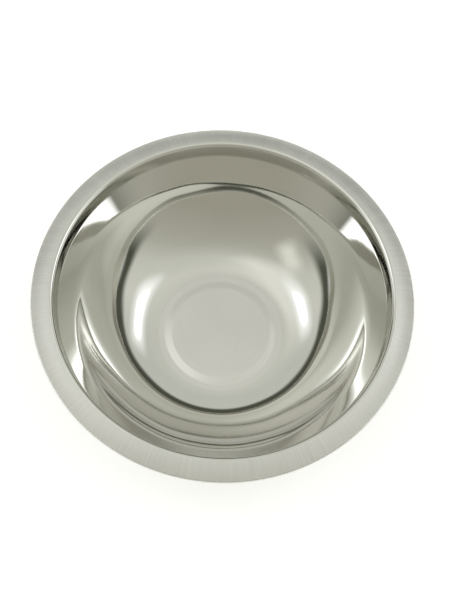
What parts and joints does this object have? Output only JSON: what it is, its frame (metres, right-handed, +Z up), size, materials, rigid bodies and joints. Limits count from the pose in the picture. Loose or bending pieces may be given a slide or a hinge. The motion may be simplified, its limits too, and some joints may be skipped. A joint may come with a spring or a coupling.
{
  "type": "mixing bowl",
  "caption": "Round stainless-steel mixing bowl with a curved wall, a wide sloping lip with a rolled edge, and a flat foot ring round a raised floor disc.",
  "frame": {"origin": "centre of the foot ring's underside, the middle of the bowl at the height of the surface it stands on", "axes": "+Z up along the turning axis, out of the bowl's mouth; X and Y are any two level directions at right angles, because the bowl is round"},
  "size_m": [0.3, 0.3, 0.0798],
  "materials": {
    "stainless_steel": "mirror-polished inside and on the collar, satin lip with a fine radial grain, semi-bright spun finish outside"
  },
  "bodies": {
    "root": {"bowl_shell": "stainless_steel"}
  },
  "joints": []
}
